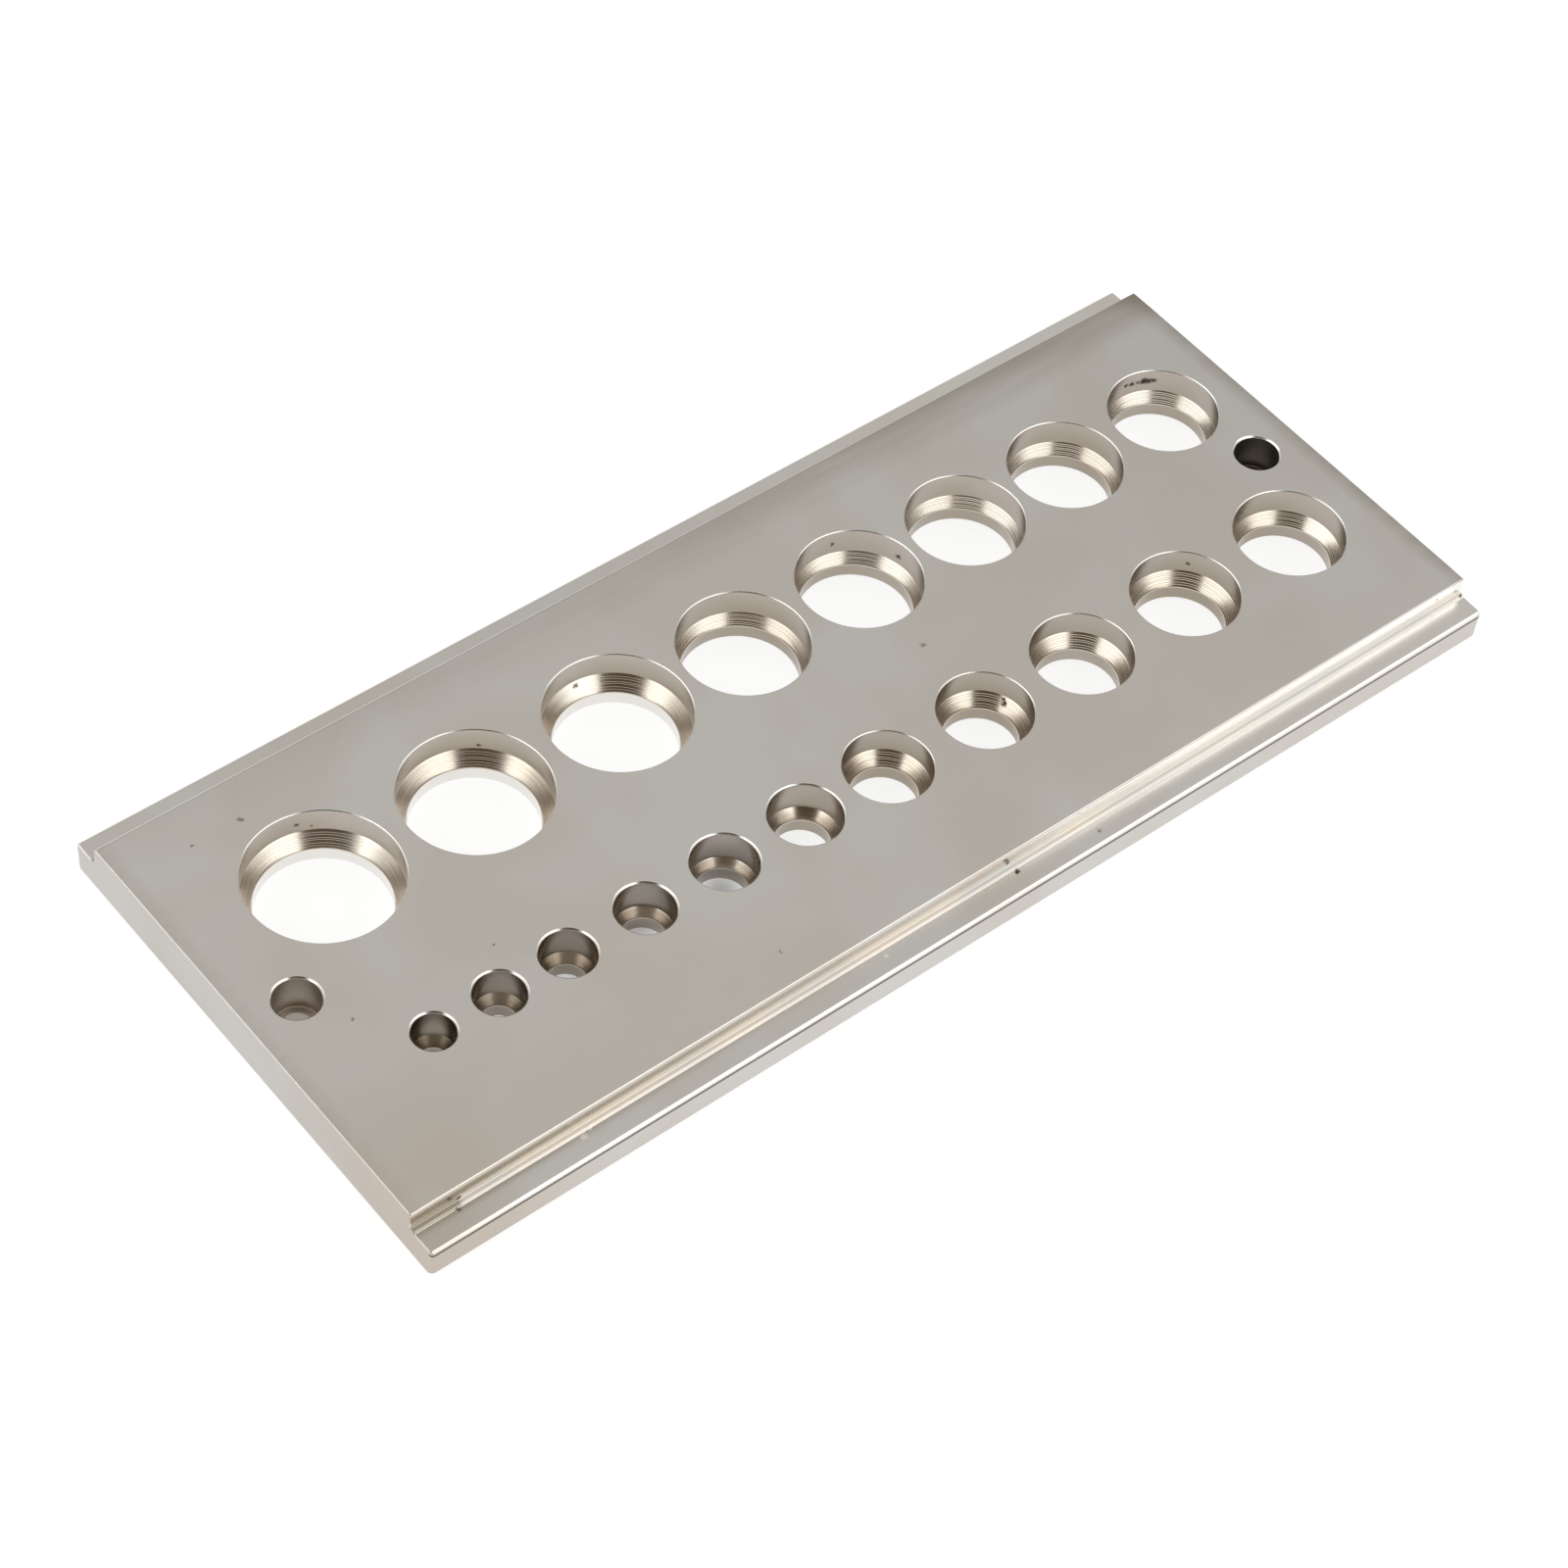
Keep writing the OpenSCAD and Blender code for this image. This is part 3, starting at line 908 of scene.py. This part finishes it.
around = node(room, "ShaderNodeBackground", {"Color": linear("#fffdf8"), "Strength": brightness.outputs[0]})
node(room, "ShaderNodeOutputWorld", {0: around.outputs[0]})
print("world:", world.name)

# %% [markdown]
# Two soft boxes
#
# A soft box is a large rectangular lamp, close enough to wrap its light round the bar. These two stand to
# the left and right of the camera, a metre away and well above the horizon. The sloping edges and the seats
# mirror them as white lines and glints. The flat face mirrors one only to an eye that is opposite that lamp
# and roughly as high, and then part of it looks nearly white. The camera itself doesn't see the lamps.

# %% Soft boxes
LAMP_DISTANCE = 1.0
LAMP_HEIGHT = math.radians(36)
LAMP_SIZE = (1.4, 0.5)
LAMP_WATTS = 3.5


def soft_box(name, azimuth):
    """A lamp that faces the plate. Its azimuth is counted from the camera to its right."""
    heading = -level * math.cos(azimuth) + rightward * math.sin(azimuth)
    place = (heading * math.cos(LAMP_HEIGHT) + Vector((0, 0, math.sin(LAMP_HEIGHT)))) * LAMP_DISTANCE
    data = bpy.data.lights.new(name, "AREA")
    data.shape = "RECTANGLE"
    data.size, data.size_y = LAMP_SIZE
    data.energy = LAMP_WATTS
    lamp = bpy.data.objects.new(name, data)
    bpy.context.scene.collection.objects.link(lamp)
    lamp.matrix_world = Matrix.Translation(place) @ place.to_track_quat("Z", "Y").to_matrix().to_4x4()
    lamp.visible_camera = False
    print(name, "at", [round(v, 2) for v in place], "m")


soft_box("soft_box_right", math.radians(76))
soft_box("soft_box_left", math.radians(-78))

# %% [markdown]
# A dark card
#
# The far side of every hole faces the camera, so a seat there mirrors the place where the photographer
# stands. A dark card takes that place. It gives each seat its dark middle between two bright sides, and
# without it the holes look shallow. It hangs clear of the floor, so that the face doesn't mirror it when
# the plate is seen from low behind. Only reflections see it: it casts no shadow and takes no light from the
# room.

# %% Card
CARD_DISTANCE, CARD_HALF_WIDTH = 0.40, 0.25
CARD_FOOT, CARD_TOP = 0.15, 0.54
CARD_GLOW = 0.09
card_middle = -level * CARD_DISTANCE
card_corners = [card_middle + rightward * side * CARD_HALF_WIDTH + Vector((0, 0, height))
                for side, height in ((-1, CARD_FOOT), (1, CARD_FOOT), (1, CARD_TOP), (-1, CARD_TOP))]
card_mesh = bpy.data.meshes.new("dark_card")
card_mesh.from_pydata(card_corners, [], [(0, 1, 2, 3)])
card = bpy.data.objects.new("dark_card", card_mesh)
bpy.context.scene.collection.objects.link(card)

card_paint = bpy.data.materials.new("dark_brown_card")
card_paint.use_nodes = True
card_tree = card_paint.node_tree
card_tree.nodes.clear()
card_glow = node(card_tree, "ShaderNodeEmission", {"Color": linear("#ffd6a8"), "Strength": CARD_GLOW})
node(card_tree, "ShaderNodeOutputMaterial", {0: card_glow.outputs[0]})
card_mesh.materials.append(card_paint)
card.visible_camera = card.visible_diffuse = card.visible_shadow = False
print("card:", 2 * CARD_HALF_WIDTH, "m wide, from", CARD_FOOT, "to", CARD_TOP, "m up")

# %% [markdown]
# White paper
#
# The plate lies on white paper. In the lamps' plain light alone it would come out light grey, so most of its
# white is a glow, which is there for the rays that look straight at it and for those that see it in the
# metal or through glass. Under the glow its own colour is a middle grey, which takes the lamps' light and
# keeps the plate's shadow faint. Hardly any light gets down through the narrowest holes and the screw holes,
# so the glow is turned down on the hidden paper under them.

# %% Paper
FLOOR_GLOW = 0.82
UNDER_HOLES = [
    # middle of the shade, reach along each axis, depth of the shade
    ((-42, -11.85, 0), (30, 10, 5), 0.45),
    ((-31, -9.6, 0), (26, 4, 5), 0.6),
    ((-20.4, -10.6, 0), (4.6, 4.6, 5), 0.65),
    ((-69.7, 0, 0), (5, 5, 5), 0.3),
    ((69.7, 0, 0), (5, 5, 5), 0.5),
]
paper = bpy.data.materials.new("white_paper")
paper.use_nodes = True
tree = paper.node_tree
tree.nodes.clear()
matt = node(tree, "ShaderNodeBsdfDiffuse", {"Color": linear("#8c8c8c")})
path = node(tree, "ShaderNodeLightPath").outputs
seen = path["Is Camera Ray"]
for other_ray in ("Is Glossy Ray", "Is Transmission Ray"):
    seen = node(tree, "ShaderNodeMath", {0: seen, 1: path[other_ray]}, operation="MAXIMUM").outputs[0]
under = node(tree, "ShaderNodeTexCoord").outputs["Object"]
shade = None
for middle, reach, depth in UNDER_HOLES:
    shaded = fading(tree, under, middle, reach, depth)
    shade = shaded if shade is None else node(
        tree, "ShaderNodeMath", {0: shade, 1: shaded}, operation="MAXIMUM").outputs[0]
lit = node(tree, "ShaderNodeMath", {0: 1.0, 1: shade}, operation="SUBTRACT").outputs[0]
glowing = node(tree, "ShaderNodeMath", {0: lit, 1: FLOOR_GLOW}, operation="MULTIPLY").outputs[0]
strength = node(tree, "ShaderNodeMath", {0: seen, 1: glowing}, operation="MULTIPLY").outputs[0]
glow = node(tree, "ShaderNodeEmission", {"Strength": strength})
both = node(tree, "ShaderNodeAddShader", {0: matt.outputs[0], 1: glow.outputs[0]})
node(tree, "ShaderNodeOutputMaterial", {0: both.outputs[0]})
print("paper shaded under", len(UNDER_HOLES), "places")

# %% Floor
FLOOR_HALF_SIZE = 3.0
FLOOR_GAP = -0.02 * MM
corner_signs = [(-1, -1), (1, -1), (1, 1), (-1, 1)]
floor_corners = [(x * FLOOR_HALF_SIZE, y * FLOOR_HALF_SIZE, FLOOR_GAP) for x, y in corner_signs]
floor_mesh = bpy.data.meshes.new("floor")
floor_mesh.from_pydata(floor_corners, [], [(0, 1, 2, 3)])
floor = bpy.data.objects.new("floor", floor_mesh)
bpy.context.scene.collection.objects.link(floor)
floor_mesh.materials.append(paper)
print("floor:", 2 * FLOOR_HALF_SIZE, "m wide")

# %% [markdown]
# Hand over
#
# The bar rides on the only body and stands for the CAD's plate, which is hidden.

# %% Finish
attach(plate, "root")
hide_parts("plate")
